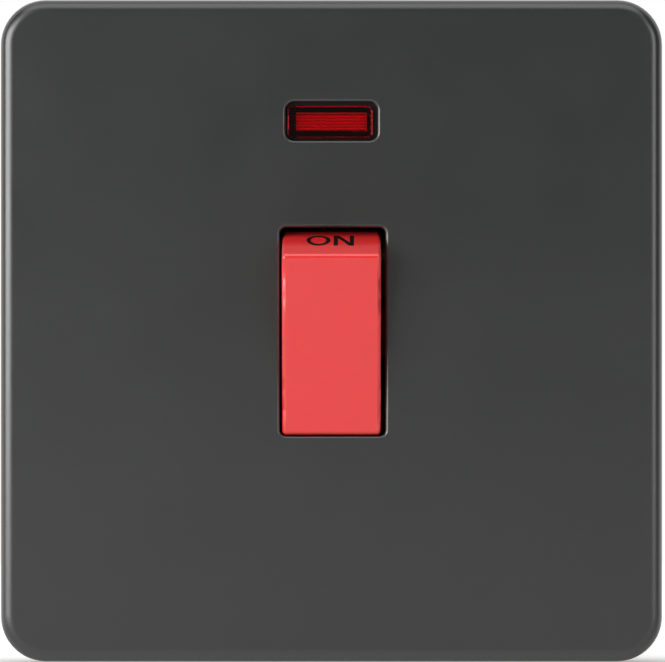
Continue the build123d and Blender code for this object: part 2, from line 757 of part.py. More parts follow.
# Base: the rear half of the housing, with the chambers for the terminals and the contacts
with BuildPart() as switch_base:
    rib_z = terminal_in_z - rib_gap - rib_t / 2
    side_rib_x = terminal_x - terminal_w / 2 - rib_gap - rib_t / 2
    inner_top = case_top_z - case_wall
    inner_bottom = case_bottom_z + case_wall
    with BuildSketch(wall_plane(base_rear_y)):
        with Locations((0, case_mid_z)):
            RectangleRounded(2 * case_half_w, case_h, case_corner_r)
    extrude(amount=base_rear_y - cover_t)
    fillet(switch_base.faces().sort_by(Axis.Y)[-1].edges(), case_edge_r)
    with BuildSketch(wall_plane(floor_y)):
        with Locations((0, case_mid_z)):
            Rectangle(2 * cavity_half_w, inner_top - inner_bottom)
    extrude(amount=floor_y - cover_t, mode=Mode.SUBTRACT)
    # Barrier between the poles, and ribs round each terminal's chamber
    with BuildSketch(wall_plane(floor_y)):
        with Locations((0, case_mid_z)):
            Rectangle(barrier_t, inner_top - inner_bottom)
    extrude(amount=floor_y - barrier_front_y)
    with BuildSketch(wall_plane(floor_y)):
        with GridLocations(0, 2 * rib_z, 1, 2):
            Rectangle(2 * cavity_half_w, rib_t)
        for x in (-side_rib_x, side_rib_x):
            with Locations((x, (rib_z + inner_top) / 2)):
                Rectangle(rib_t, inner_top - rib_z)
            with Locations((x, (inner_bottom - rib_z) / 2)):
                Rectangle(rib_t, -rib_z - inner_bottom)
    extrude(amount=floor_y - rib_front_y)
    with BuildSketch(wall_plane(strip_rear_y)):
        with GridLocations(2 * terminal_x, 2 * rib_z, 2, 2):
            Rectangle(strip_w + 2 * rib_gap, 2 * rib_t)
    extrude(amount=strip_rear_y - rib_front_y, mode=Mode.SUBTRACT)
    # Ribs that close the rocker's bearings from behind
    with BuildSketch(wall_plane(floor_y)):
        for side in (-1, 1):
            with Locations((side * (bearing_in_x + cavity_half_w) / 2, 0)):
                Rectangle(cavity_half_w - bearing_in_x, bearing_rib_t)
    extrude(amount=floor_y - bearing_rear_y - tongue_gap)
    tongue_w = bearing_out_x - bearing_in_x - 2 * tongue_gap
    tongue_h = 2 * (trunnion_r + bearing_clearance - tongue_gap)
    with BuildSketch(wall_plane(floor_y)):
        with GridLocations(bearing_in_x + bearing_out_x, 0, 2, 1):
            Rectangle(tongue_w, tongue_h)
    extrude(amount=floor_y - trunnion_r - tongue_top_gap)
    # Supports for the strips, and the stop for each see-saw's lower arm
    with BuildSketch(wall_plane(floor_y)):
        with GridLocations(pole_spacing, 0, 2, 1):
            Rectangle(saddle_w, saddle_h)
        with Locations((-pole_x, contact_reach), (pole_x, contact_reach)):
            Rectangle(strip_w, strip_w)
    extrude(amount=floor_y - strip_rear_y)
    with BuildSketch(wall_plane(floor_y)):
        with Locations(*[(x, stop_l / 2 - contact_arm_l) for x in (-pole_x, pole_x)]):
            Rectangle(contact_w, stop_l)
    extrude(amount=floor_y - contact_pivot_y - arm_rear - tip_gap)
    # Wells that seat the terminals round their screws, and the screws' posts
    with BuildSketch(wall_plane(floor_y)):
        with Locations(*terminal_points):
            Circle(clamp_screw_r + well_clearance + well_wall)
    extrude(amount=floor_y - terminal_rear_y)
    with BuildSketch(wall_plane(base_rear_y)):
        with Locations(*terminal_points):
            Circle(clamp_screw_r + well_clearance)
    extrude(amount=base_rear_y - terminal_rear_y, mode=Mode.SUBTRACT)
    post_rear_y = body_screw_l - yoke_gauge + screw_post_rest
    with BuildSketch(wall_plane(post_rear_y)):
        with Locations(*body_screw_points):
            Circle(body_screw_r + screw_post_wall)
    extrude(amount=post_rear_y - cover_t)
    with Locations(*[Plane(origin=(x, cover_t, z), z_dir=(0, -1, 0)) for x, z in body_screw_points]):
        Hole(body_screw_r, depth=body_screw_l - yoke_gauge - cover_t)
    # Cable entries
    with BuildSketch(Plane.XY.offset(terminal_out_z)):
        with Locations((-terminal_x, cable_y), (terminal_x, cable_y)):
            Circle(cable_bore_r + entry_clearance)
    extrude(amount=case_top_z - terminal_out_z, mode=Mode.SUBTRACT)
    with BuildSketch(Plane.XY.offset(-terminal_out_z)):
        with Locations((-terminal_x, cable_y), (terminal_x, cable_y)):
            Circle(cable_bore_r + entry_clearance)
    extrude(amount=case_bottom_z + terminal_out_z, mode=Mode.SUBTRACT)
save(switch_base.part, "switch_base")

for index, (x, z) in enumerate(body_screw_points, start=1):
    save(body_screw(x, z), f"body_screw_{index}")

# Neon window: a clear red lens with prisms moulded in its back
with BuildPart() as neon_lens:
    with BuildSketch(wall_plane(lens_flange_y)):
        with Locations((lens_x, lens_z)):
            RectangleRounded(lens_w, lens_h, lens_corner_r)
    extrude(amount=lens_flange_y - lens_front_y)
    chamfer(neon_lens.faces().sort_by(Axis.Y)[0].edges(), lens_edge_r)
    with BuildSketch(wall_plane(lens_rear_y)):
        with Locations((0, neon_z)):
            Rectangle(neon_cavity_w, 2 * lamp_r)
    extrude(amount=lens_flange_t)
    rib_slope = hypot(lens_rib_pitch / 2, lens_rib_depth)
    with BuildSketch(Plane.YZ.offset(lens_x)):
        with Locations((lens_rear_y, lens_z)):
            with GridLocations(0, lens_rib_pitch, 1, lens_rib_count):
                Triangle(a=lens_rib_pitch, b=rib_slope, c=rib_slope, rotation=90)
    extrude(amount=lens_rib_w / 2, both=True, mode=Mode.SUBTRACT)
save(neon_lens.part, "neon_lens")

# Neon lamp, lying across the window with both leads at its right end
with BuildPart() as neon_lamp:
    with BuildSketch(Plane.YZ.offset(-lamp_l / 2)):
        with Locations((lamp_y, neon_z)):
            Circle(lamp_r)
    extrude(amount=lamp_l)
    fillet(neon_lamp.edges().filter_by(GeomType.CIRCLE), lamp_end_r)
save(neon_lamp.part, "neon_lamp")

# Resistor: a lacquered rod between two end caps
with BuildPart() as neon_resistor:
    with BuildSketch(Plane.YZ.offset(-resistor_l / 2)):
        with Locations((resistor_y, resistor_z)):
            Circle(resistor_r)
    extrude(amount=resistor_l)
    fillet(neon_resistor.edges().filter_by(GeomType.CIRCLE), resistor_r / 3)
    with BuildSketch(Plane.YZ.offset(-resistor_l / 4)):
        with Locations((resistor_y, resistor_z)):
            Circle(resistor_r)
            Circle(resistor_waist_r, mode=Mode.SUBTRACT)
    extrude(amount=resistor_l / 2, mode=Mode.SUBTRACT)
save(neon_resistor.part, "neon_resistor")

lamp_end_x = lamp_l / 2
lead_turn_x = lamp_end_x + lead_stub
block_face_x = terminal_x - terminal_w / 2
upper_lead_z = neon_z + lead_spacing / 2
lower_lead_z = neon_z - lead_spacing / 2
live_lead = [
    (lamp_end_x, lamp_y, upper_lead_z),
    (lead_turn_x, lamp_y, upper_lead_z),
    (lead_turn_x, lead_end_y, live_lead_end_z),
    (block_face_x, lead_end_y, live_lead_end_z),
]
link_lead = [
    (lamp_end_x, lamp_y, lower_lead_z),
    (lead_turn_x, lamp_y, lower_lead_z),
    (lead_turn_x, resistor_y, resistor_z),
    (resistor_l / 2, resistor_y, resistor_z),
]
neutral_lead = [
    (-resistor_l / 2, resistor_y, resistor_z),
    (-lead_turn_x, resistor_y, resistor_z),
    (-lead_turn_x, lead_end_y, resistor_z),
    (-block_face_x, lead_end_y, resistor_z),
]
save(lead(live_lead), "neon_lead_live")
save(lead(link_lead), "neon_lead_link")
save(lead(neutral_lead), "neon_lead_neutral")

# Earth terminal
with BuildPart() as earth_terminal:
    with BuildSketch(wall_plane(earth_rear_y)):
        with Locations((earth_x, earth_z)):
            Rectangle(earth_w, earth_l)
    extrude(amount=earth_rear_y)
    chamfer(earth_terminal.edges().filter_by(Axis.Z), bore_chamfer)
    with BuildSketch(Plane.XY.offset(earth_z)):
        with Locations((earth_x, earth_bore_y)):
            Circle(earth_bore_r)
    extrude(amount=earth_l, both=True, mode=Mode.SUBTRACT)
    chamfer(earth_terminal.edges().filter_by(GeomType.CIRCLE), bore_chamfer)
    with BuildSketch(wall_plane(earth_rear_y)):
        with Locations((earth_x, earth_z)):
            Circle(earth_screw_r + clamp_clearance)
    extrude(amount=earth_rear_y - earth_bore_y, mode=Mode.SUBTRACT)
    with BuildSketch(wall_plane(0)):
        with Locations((earth_x, earth_z)):
            Circle(earth_rivet_r)
    extrude(amount=yoke_gauge)
save(earth_terminal.part, "earth_terminal")
earth_tip_y = earth_bore_y + earth_bore_r + clamp_tip_gap
save(clamp_screw(earth_x, earth_z, earth_screw_r, earth_screw_l, earth_tip_y), "earth_screw")
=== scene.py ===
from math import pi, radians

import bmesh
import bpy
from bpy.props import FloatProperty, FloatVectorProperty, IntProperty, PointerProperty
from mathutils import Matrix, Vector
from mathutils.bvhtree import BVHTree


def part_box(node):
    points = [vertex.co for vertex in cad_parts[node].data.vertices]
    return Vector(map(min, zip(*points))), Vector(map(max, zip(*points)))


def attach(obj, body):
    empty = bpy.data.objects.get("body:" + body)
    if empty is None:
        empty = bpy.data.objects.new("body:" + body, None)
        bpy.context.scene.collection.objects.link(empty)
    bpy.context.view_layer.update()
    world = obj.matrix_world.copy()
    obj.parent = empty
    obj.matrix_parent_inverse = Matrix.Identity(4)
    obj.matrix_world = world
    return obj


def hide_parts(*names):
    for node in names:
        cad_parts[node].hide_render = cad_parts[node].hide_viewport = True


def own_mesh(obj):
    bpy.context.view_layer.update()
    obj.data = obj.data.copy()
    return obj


bl_info = {
    "name": "Double Pole Switch",
    "version": (1, 0, 0),
    "blender": (4, 5, 0),
    "location": "View3D > Sidebar > Switch",
    "description": "Finishes, threads and lettering for a double pole wall switch with a neon window",
    "category": "Object",
}

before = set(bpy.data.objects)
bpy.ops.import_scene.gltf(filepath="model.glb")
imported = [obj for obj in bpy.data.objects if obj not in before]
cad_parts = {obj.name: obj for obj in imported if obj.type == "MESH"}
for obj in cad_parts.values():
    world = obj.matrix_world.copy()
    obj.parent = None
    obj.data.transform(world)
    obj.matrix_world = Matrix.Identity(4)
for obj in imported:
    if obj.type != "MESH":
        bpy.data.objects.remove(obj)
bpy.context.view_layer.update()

MM = 0.001
POLES = ("live", "neutral")
ENDS = ("load", "supply")
CLIP_PLACES = ("top", "right", "bottom", "left")

# The rocker as it stands at rest, the width of its paddle left unshaded, and the painted shade on the pivots
# beside it (darker colour, less specular, no coat)
ROCKER_TILT = radians(12)
PADDLE_REACH = 6.43 * MM
PIVOT_PAINTED_SHADE = 0.85
PADDLE_SPECULAR = 0.5

# Lettering: shares of a stroke or a width, and where rays start outside the rocker
DIAGONAL_STROKE = 1.25
F_WIDTH = 0.85
F_SHORT_ARM = 0.85
RAY_HEIGHT = 30 * MM
RAY_DISTANCE = 50 * MM

# The rows of ribs on the lens's back, and the frosting that covers them
RIB_LENGTH = 9.2 * MM
RIB_ROWS_HEIGHT = 2.4 * MM
RIB_DEPTH = -1.9 * MM
RIB_DEPTH_REACH = 0.11 * MM
FROST_CLOUDING = 0.95
FROST_ROUGHNESS = 0.35
LENS_ROUGHNESS = 0.06

# The lamp's two electrodes with their wires, and the resistor's bands
ELECTRODE_LENGTH = 0.45
ELECTRODE_SHIFT = 0.1
ELECTRODE_RADIUS = 0.28 * MM
ELECTRODE_OFFSET = 0.5 * MM
WIRE_RADIUS = 0.12 * MM
WIRE_OFFSET = 0.8 * MM
WIRE_END = 0.2 * MM
BAND_WIDTH = 0.45 * MM
BAND_HEIGHT = 0.015 * MM
# Place along the resistor, share of its thickness, colour
BANDS = (
    (-0.38, 1.0, "band_brown"),
    (-0.14, 0.84, "band_green"),
    (0.04, 0.84, "band_yellow"),
    (0.38, 1.0, "band_gold"),
)

# Threads, in pitches: the depth, where root and crest begin and end in a turn, and the length to trim off
THREAD_DEPTH = 0.6
THREAD_ROOT = (-0.08, 0.08)
THREAD_CREST = (0.44, 0.56)
THREAD_RUN_OUT = 1.5
SPARE_TURNS = 4
WELD_DISTANCE = 0.001 * MM

# How the photo frames the plate
PHOTO_WIDTH_PX = 665
PLATE_WIDTH_PX = 661
PLATE_OFFSET_PX = (-1.0, 0.25)
SENSOR_WIDTH = 36.0
PLATE_RIM = -3.2 * MM
CLIP_END = 20

# The stage's sheets and lamps
FLOOR_SIZE = 6.0
FLOOR_FADE = 20 * MM
BACKDROP_SIZE = 3.2
BACKDROP_DISTANCE = 0.25
# Name, place, width, height, and the setting with its power
LAMPS = (
    ("lamp_left", (-0.52, -0.44, 0.04), 0.58, 0.6, "left_watts"),
    ("lamp_right", (0.44, -0.52, 0.04), 0.3, 0.5, "right_watts"),
    ("lamp_top", (0.0, -0.28, 0.62), 0.9, 0.6, "top_watts"),
)


class PaintSettings(bpy.types.PropertyGroup):
    """The front plate's powder paint."""

    colour: FloatVectorProperty(
        name="Paint colour",
        description="Colour of the anthracite paint",
        subtype="COLOR",
        size=3,
        min=0,
        max=1,
        default=(0.0185, 0.0202, 0.0195),
    )
    roughness: FloatProperty(
        name="Paint roughness",
        description="Roughness of the satin paint",
        subtype="FACTOR",
        min=0,
        max=1,
        default=0.3,
    )
    grain: FloatProperty(
        name="Paint grain",
        description="Width of the finest bumps in the paint",
        subtype="DISTANCE",
        unit="LENGTH",
        min=0.01 * MM,
        default=0.16 * MM,
    )


class RockerSettings(bpy.types.PropertyGroup):
    """The red rocker and the lettering on its ends."""

    colour: FloatVectorProperty(
        name="Rocker colour",
        description="Colour of the red moulding",
        subtype="COLOR",
        size=3,
        min=0,
        max=1,
        default=(0.9, 0.034, 0.034),
    )
    letter_top: FloatProperty(
        name="Letter top",
        description="Height of the letters' tops above the pivot, seen from the front",
        subtype="DISTANCE",
        unit="LENGTH",
        default=12.32 * MM,
    )
    letter_foot: FloatProperty(
        name="Letter foot",
        description="Height of the letters' feet above the pivot, seen from the front",
        subtype="DISTANCE",
        unit="LENGTH",
        default=11.0 * MM,
    )
    letter_shift: FloatProperty(
        name="Letter shift",
        description="How far the lettering stands to the right of the rocker's middle",
        subtype="DISTANCE",
        unit="LENGTH",
        default=-0.16 * MM,
    )
    stroke: FloatProperty(
        name="Stroke",
        description="Width of the letters' strokes",
        subtype="DISTANCE",
        unit="LENGTH",
        min=0.1 * MM,
        default=0.54 * MM,
    )
    o_width: FloatProperty(
        name="O width",
        description="Width of the round letter",
        subtype="DISTANCE",
        unit="LENGTH",
        default=3.1 * MM,
    )
    n_width: FloatProperty(
        name="N width",
        description="Width of the straight letter",
        subtype="DISTANCE",
        unit="LENGTH",
        default=2.62 * MM,
    )
    letter_gap: FloatProperty(
        name="Letter gap",
        description="Gap between two letters",
        subtype="DISTANCE",
        unit="LENGTH",
        default=0.43 * MM,
    )
    ink_height: FloatProperty(
        name="Ink height",
        description="How far the printed letters stand above the moulding",
        subtype="DISTANCE",
        unit="LENGTH",
        default=0.015 * MM,
    )


class ThreadSettings(bpy.types.PropertyGroup):
    """The threads of the clamp screws and the earth screw."""

    clamp_pitch: FloatProperty(
        name="Clamp screw pitch",
        description="Pitch of the terminals' clamp screws",
        subtype="DISTANCE",
        unit="LENGTH",
        min=0.2 * MM,
        default=0.7 * MM,
    )
    earth_pitch: FloatProperty(
        name="Earth screw pitch",
        description="Pitch of the earth terminal's screw",
        subtype="DISTANCE",
        unit="LENGTH",
        min=0.2 * MM,
        default=0.6 * MM,
    )
    steps: IntProperty(
        name="Steps a turn",
        description="How many faces one turn of a thread has",
        min=12,
        max=96,
        default=40,
    )
    slot_width: FloatProperty(
        name="Slot width",
        description="Width of the slot in a clamp screw's end",
        subtype="DISTANCE",
        unit="LENGTH",
        min=0.1 * MM,
        default=0.8 * MM,
    )
    slot_depth: FloatProperty(
        name="Slot depth",
        description="Depth of the slot in a clamp screw's end",
        subtype="DISTANCE",
        unit="LENGTH",
        min=0.1 * MM,
        default=1.2 * MM,
    )
    chamfer: FloatProperty(
        name="Screw chamfer",
        description="Chamfer on a clamp screw's ends",
        subtype="DISTANCE",
        unit="LENGTH",
        min=0,
        default=0.3 * MM,
    )


class StageSettings(bpy.types.PropertyGroup):
    """The floor, the backdrop, the lamps and the camera."""

    camera_distance: FloatProperty(
        name="Camera distance",
        description="From the camera to the rim of the front plate",
        subtype="DISTANCE",
        unit="LENGTH",
        min=0.1,
        default=0.6,
    )
    floor_gap: FloatProperty(
        name="Floor gap",
        description="Gap between the plate's bottom edge and the floor",
        subtype="DISTANCE",
        unit="LENGTH",
        default=0.3 * MM,
    )
    floor_glow: FloatProperty(
        name="Floor glow",
        description="How much whiter than its lit paint the floor looks behind the plate",
        min=0,
        max=1,
        default=0.75,
    )
    world_grey: FloatProperty(
        name="World grey",
        description="Brightness of the surroundings",
        min=0,
        max=1,
        default=0.07,
    )
    left_watts: FloatProperty(
        name="Left lamp",
        description="Power of the soft lamp on the left",
        unit="POWER",
        min=0,
        default=5.9,
    )
    right_watts: FloatProperty(
        name="Right lamp",
        description="Power of the soft lamp on the right",
        unit="POWER",
        min=0,
        default=1.0,
    )
    top_watts: FloatProperty(
        name="Top lamp",
        description="Power of the soft lamp above",
        unit="POWER",
        min=0,
        default=2.3,
    )


# Node groups that several finishes share


def group_tree(name, inputs, outputs):
    """A shader node group with these inputs and outputs, and its two end nodes."""
    tree = bpy.data.node_groups.new(name, "ShaderNodeTree")
    for label, kind, value in inputs:
        socket = tree.interface.new_socket(name=label, in_out="INPUT", socket_type=kind)
        socket.default_value = value
    for label, kind in outputs:
        tree.interface.new_socket(name=label, in_out="OUTPUT", socket_type=kind)
    start = tree.nodes.new("NodeGroupInput")
    end = tree.nodes.new("NodeGroupOutput")
    return tree, start, end


def node(tree, kind, values=None, **settings):
    """A node with its settings, and values for its input sockets by name or number."""
    made = tree.nodes.new(kind)
    for key, value in settings.items():
        setattr(made, key, value)
    for key, value in (values or {}).items():
        made.inputs[key].default_value = value
    return made


def maths(tree, operation, first, second=0.0):
    """A Math node; each operand is a socket or a number."""
    made = node(tree, "ShaderNodeMath", operation=operation)
    for slot, operand in enumerate((first, second)):
        if isinstance(operand, bpy.types.NodeSocket):
            tree.links.new(operand, made.inputs[slot])
        else:
            made.inputs[slot].default_value = operand
    return made.outputs[0]


def noise(tree, vector, scale, detail):
    """A noise between 0 and 1 on these coordinates; scale is a socket or a number."""
    made = node(tree, "ShaderNodeTexNoise", {"Detail": detail, "Roughness": 0.6})
    tree.links.new(vector, made.inputs["Vector"])
    if isinstance(scale, bpy.types.NodeSocket):
        tree.links.new(scale, made.inputs["Scale"])
    else:
        made.inputs["Scale"].default_value = scale
    return made.outputs["Fac"]


def shaded(tree, colour, amount, mask):
    """A colour made darker where the mask is low, by up to this amount."""
    loss = maths(tree, "MULTIPLY", amount, maths(tree, "SUBTRACT", 1.0, mask))
    level = maths(tree, "SUBTRACT", 1.0, loss)
    mix = node(tree, "ShaderNodeVectorMath", operation="SCALE")
    tree.links.new(colour, mix.inputs[0])
    tree.links.new(level, mix.inputs["Scale"])
    return mix.outputs[0]


def uneven_roughness(tree, start, pattern):
    """A group's roughness, raised and lowered by a pattern between 0 and 1."""
    swing = maths(tree, "MULTIPLY", maths(tree, "SUBTRACT", pattern, 0.5), start.outputs["Roughness Spread"])
    return maths(tree, "ADD", start.outputs["Roughness"], swing)


def object_axes(tree):
    """The object's own coordinates, one socket an axis."""
    axes = node(tree, "ShaderNodeSeparateXYZ")
    tree.links.new(node(tree, "ShaderNodeTexCoord").outputs["Object"], axes.inputs[0])
    return axes.outputs


# A bump's height as a share of its width, and how many patches of tarnish there are in a metre
BUMP_HEIGHT = 0.25
TARNISH_SCALE = 160.0
FINISH_OUTPUTS = [
    ("Colour", "NodeSocketColor"),
    ("Roughness", "NodeSocketFloat"),
    ("Height", "NodeSocketFloat"),
]


def build_grain_group():
    """Fine grain with soft patches: for paint and mouldings."""
    tree, start, end = group_tree(
        "Grain",
        [
            ("Colour", "NodeSocketColor", (0.5, 0.5, 0.5, 1)),
            ("Patchiness", "NodeSocketFloat", 0.1),
            ("Patch Scale", "NodeSocketFloat", 80.0),
            ("Grain Scale", "NodeSocketFloat", 4000.0),
            ("Roughness", "NodeSocketFloat", 0.4),
            ("Roughness Spread", "NodeSocketFloat", 0.1),
        ],
        FINISH_OUTPUTS,
    )
    place = node(tree, "ShaderNodeTexCoord").outputs["Object"]
    patches = noise(tree, place, start.outputs["Patch Scale"], detail=3.0)
    grain = noise(tree, place, start.outputs["Grain Scale"], detail=2.0)
    colour = shaded(tree, start.outputs["Colour"], start.outputs["Patchiness"], patches)
    tree.links.new(colour, end.inputs["Colour"])
    tree.links.new(uneven_roughness(tree, start, patches), end.inputs["Roughness"])
    tree.links.new(grain, end.inputs["Height"])
    return tree


def build_streak_group():
    """Streaks along one direction: for drawn, rolled and plated metal."""
    tree, start, end = group_tree(
        "Streaks",
        [
            ("Colour", "NodeSocketColor", (0.5, 0.5, 0.5, 1)),
            ("Tarnish", "NodeSocketFloat", 0.2),
            ("Stretch", "NodeSocketVector", (1.0, 1.0, 0.05)),
            ("Streak Scale", "NodeSocketFloat", 3000.0),
            ("Roughness", "NodeSocketFloat", 0.3),
            ("Roughness Spread", "NodeSocketFloat", 0.2),
        ],
        FINISH_OUTPUTS,
    )
    place = node(tree, "ShaderNodeTexCoord").outputs["Object"]
    stretched = node(tree, "ShaderNodeVectorMath", operation="MULTIPLY")
    tree.links.new(place, stretched.inputs[0])
    tree.links.new(start.outputs["Stretch"], stretched.inputs[1])
    streaks = noise(tree, stretched.outputs[0], start.outputs["Streak Scale"], detail=3.0)
    patches = noise(tree, place, TARNISH_SCALE, detail=4.0)
    colour = shaded(tree, start.outputs["Colour"], start.outputs["Tarnish"], patches)
    tree.links.new(colour, end.inputs["Colour"])
    tree.links.new(uneven_roughness(tree, start, streaks), end.inputs["Roughness"])
    tree.links.new(streaks, end.inputs["Height"])
    return tree


# Finishes


def new_finish(name, **sockets):
    """A material with a Principled shader and these values on its sockets."""
    material = bpy.data.materials.new(name)
    material.use_nodes = True
    shader = material.node_tree.nodes["Principled BSDF"]
    for key, value in sockets.items():
        shader.inputs[key.replace("_", " ").title().replace("Ior", "IOR")].default_value = value
    return material, shader


def dress(material, shader, group, values, bump, distance):
    """Feed a shader's colour, roughness and bump from a shared group."""
    tree = material.node_tree
    source = node(tree, "ShaderNodeGroup", node_tree=group)
    for key, value in values.items():
        source.inputs[key].default_value = value
    tree.links.new(source.outputs["Colour"], shader.inputs["Base Color"])
    tree.links.new(source.outputs["Roughness"], shader.inputs["Roughness"])
    lift = node(tree, "ShaderNodeBump", {"Strength": bump, "Distance": distance})
    tree.links.new(source.outputs["Height"], lift.inputs["Height"])
    tree.links.new(lift.outputs["Normal"], shader.inputs["Normal"])
    return material


def grained(name, colour, roughness, spread, patchiness, grain, bump, patch, **sockets):
    """A painted or moulded finish; grain and patch are sizes in metres."""
    material, shader = new_finish(name, **sockets)
    values = {
        "Colour": (*colour, 1),
        "Patchiness": patchiness,
        "Patch Scale": 1 / patch,
        "Grain Scale": 1 / grain,
        "Roughness": roughness,
        "Roughness Spread": spread,
    }
    return dress(material, shader, shared_group("Grain"), values, bump, grain * BUMP_HEIGHT)


def streaked(name, colour, roughness, spread, tarnish, stretch, streak, bump, **sockets):
    """A bare or plated metal; streak is the streaks' width in metres."""
    material, shader = new_finish(name, metallic=1.0, **sockets)
    values = {
        "Colour": (*colour, 1),
        "Tarnish": tarnish,
        "Stretch": stretch,
        "Streak Scale": 1 / streak,
        "Roughness": roughness,
        "Roughness Spread": spread,
    }
    return dress(material, shader, shared_group("Streaks"), values, bump, streak * BUMP_HEIGHT)


GROUP_BUILDERS = {"Grain": build_grain_group, "Streaks": build_streak_group}


def shared_group(name):
    """A shared node group, built the first time that it is asked for."""
    return bpy.data.node_groups.get(name) or GROUP_BUILDERS[name]()


def finish(name):
    """A finish by name, made the first time that it is asked for."""
    label = f"{name}_finish"
    return bpy.data.materials.get(label) or FINISHES[name](label)


def plate_paint(name):
    """Satin powder paint with the settings' colour and grain."""
    paint = bpy.context.scene.switch_paint
    return grained(
        name,
        paint.colour,
        paint.roughness,
        spread=0.08,
        patchiness=0.06,
        grain=paint.grain,
        bump=0.22,
        patch=12 * MM,
        ior=1.9,
    )


def red_gloss(name):
    """Glossy red plastic, with painted shade on the pivots beside the paddle: darker, less specular and
    without coat.
    """
    colour = bpy.context.scene.switch_rocker.colour
    material = grained(
        name,
        colour,
        roughness=0.24,
        spread=0.03,
        patchiness=0.05,
        grain=0.5 * MM,
        bump=0.02,
        patch=6 * MM,
        ior=1.6,
        coat_roughness=0.17,
    )
    tree = material.node_tree
    # Painted shade: beyond the paddle's sides the pivots are darkened and lose their specular and coat,
    # standing in for the shade in the gap beside the rocker
    unshaded_paddle = maths(tree, "LESS_THAN", maths(tree, "ABSOLUTE", object_axes(tree)["X"]), PADDLE_REACH)
    shader = tree.nodes["Principled BSDF"]
    plain = shader.inputs["Base Color"].links[0].from_socket
    tree.links.new(shaded(tree, plain, PIVOT_PAINTED_SHADE, unshaded_paddle), shader.inputs["Base Color"])
    tree.links.new(maths(tree, "MULTIPLY", unshaded_paddle, PADDLE_SPECULAR), shader.inputs["Specular IOR Level"])
    tree.links.new(unshaded_paddle, shader.inputs["Coat Weight"])
    return material


# Colour, roughness and its spread, patchiness, width of the grain, bump, width of the patches, specular level
MOULDINGS = {
    "black_moulding": ((0.009, 0.0089, 0.0088), 0.42, 0.15, 0.35, 0.12 * MM, 0.25, 9 * MM, 0.3),
    "white_moulding": ((0.72, 0.70, 0.63), 0.35, 0.1, 0.08, 0.15 * MM, 0.1, 4 * MM, 0.5),
    "resistor_lacquer": ((0.56, 0.40, 0.24), 0.28, 0.1, 0.12, 0.2 * MM, 0.1, 2 * MM, 0.5),
    "black_ink": ((0.006, 0.004, 0.004), 0.5, 0.1, 0.2, 0.08 * MM, 0.1, 1 * MM, 0.2),
    "band_brown": ((0.16, 0.05, 0.02), 0.3, 0.1, 0.1, 0.2 * MM, 0.05, 1 * MM, 0.5),
    "band_green": ((0.03, 0.25, 0.07), 0.3, 0.1, 0.1, 0.2 * MM, 0.05, 1 * MM, 0.5),
    "band_yellow": ((0.8, 0.55, 0.04), 0.3, 0.1, 0.1, 0.2 * MM, 0.05, 1 * MM, 0.5),
    "band_gold": ((0.5, 0.33, 0.1), 0.3, 0.1, 0.1, 0.2 * MM, 0.05, 1 * MM, 0.5),
}
# Colour, roughness and its spread, tarnish, stretch and width of the streaks, bump
METALS = {
    "zinc_steel": ((0.60, 0.61, 0.60), 0.34, 0.16, 0.18, (0.04, 1, 1), 0.12 * MM, 0.12),
    "spring_steel": ((0.50, 0.50, 0.49), 0.26, 0.1, 0.15, (0.1, 1, 1), 0.08 * MM, 0.1),
    "screw_steel": ((0.58, 0.59, 0.59), 0.3, 0.12, 0.2, (1, 1, 1), 0.1 * MM, 0.08),
    "brass": ((0.78, 0.55, 0.24), 0.3, 0.16, 0.22, (1, 1, 0.04), 0.1 * MM, 0.12),
    "copper": ((0.36, 0.17, 0.11), 0.42, 0.14, 0.4, (0.05, 1, 1), 0.1 * MM, 0.12),
    "silver": ((0.42, 0.41, 0.39), 0.4, 0.12, 0.4, (1, 1, 1), 0.15 * MM, 0.1),
    "tinned_wire": ((0.68, 0.68, 0.66), 0.3, 0.12, 0.18, (0.1, 1, 1), 0.08 * MM, 0.1),
    "nickel": ((0.55, 0.53, 0.50), 0.4, 0.15, 0.25, (0.1, 1, 1), 0.1 * MM, 0.15),
}


def moulding(name):
    """Plastic, lacquer, ink or a painted band, from its row in the table."""
    *values, specular = MOULDINGS[name.removesuffix("_finish")]
    return grained(name, *values, specular_ior_level=specular)


def metal(name):
    """A bare or plated metal, from its row in the table."""
    return streaked(name, *METALS[name.removesuffix("_finish")])


def red_lens(name):
    """Clear red plastic, frosted where its back carries the ribs."""
    material, shader = new_finish(name, base_color=(0.88, 0.018, 0.05, 1), ior=1.58)
    tree = material.node_tree
    low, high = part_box("neon_lens")
    place = object_axes(tree)
    frosted = 1.0
    for axis, middle, reach in (
        ("X", (low.x + high.x) / 2, RIB_LENGTH / 2),
        ("Y", RIB_DEPTH, RIB_DEPTH_REACH),
        ("Z", (low.z + high.z) / 2, RIB_ROWS_HEIGHT / 2),
    ):
        aside = maths(tree, "ABSOLUTE", maths(tree, "SUBTRACT", place[axis], middle))
        frosted = maths(tree, "MULTIPLY", maths(tree, "LESS_THAN", aside, reach), frosted)
    clearness = maths(tree, "SUBTRACT", 1.0, maths(tree, "MULTIPLY", frosted, FROST_CLOUDING))
    tree.links.new(clearness, shader.inputs["Transmission Weight"])
    dullness = maths(tree, "ADD", LENS_ROUGHNESS, maths(tree, "MULTIPLY", frosted, FROST_ROUGHNESS))
    tree.links.new(dullness, shader.inputs["Roughness"])
    return material


def lamp_glass(name):
    """Clear glass."""
    material, _ = new_finish(
        name, base_color=(0.98, 0.97, 0.95, 1), roughness=0.02, transmission_weight=1.0, ior=1.5
    )
    return material


FINISHES = {
    "plate_paint": plate_paint,
    "red_gloss": red_gloss,
    "red_lens": red_lens,
    "lamp_glass": lamp_glass,
    **dict.fromkeys(MOULDINGS, moulding),
    **dict.fromkeys(METALS, metal),
}


def coat(*names, with_finish):
    """Give solids a finish in place of the plain one that they came with."""
    for name in names:
        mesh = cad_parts[name].data
        mesh.materials.clear()
        mesh.materials.append(finish(with_finish))


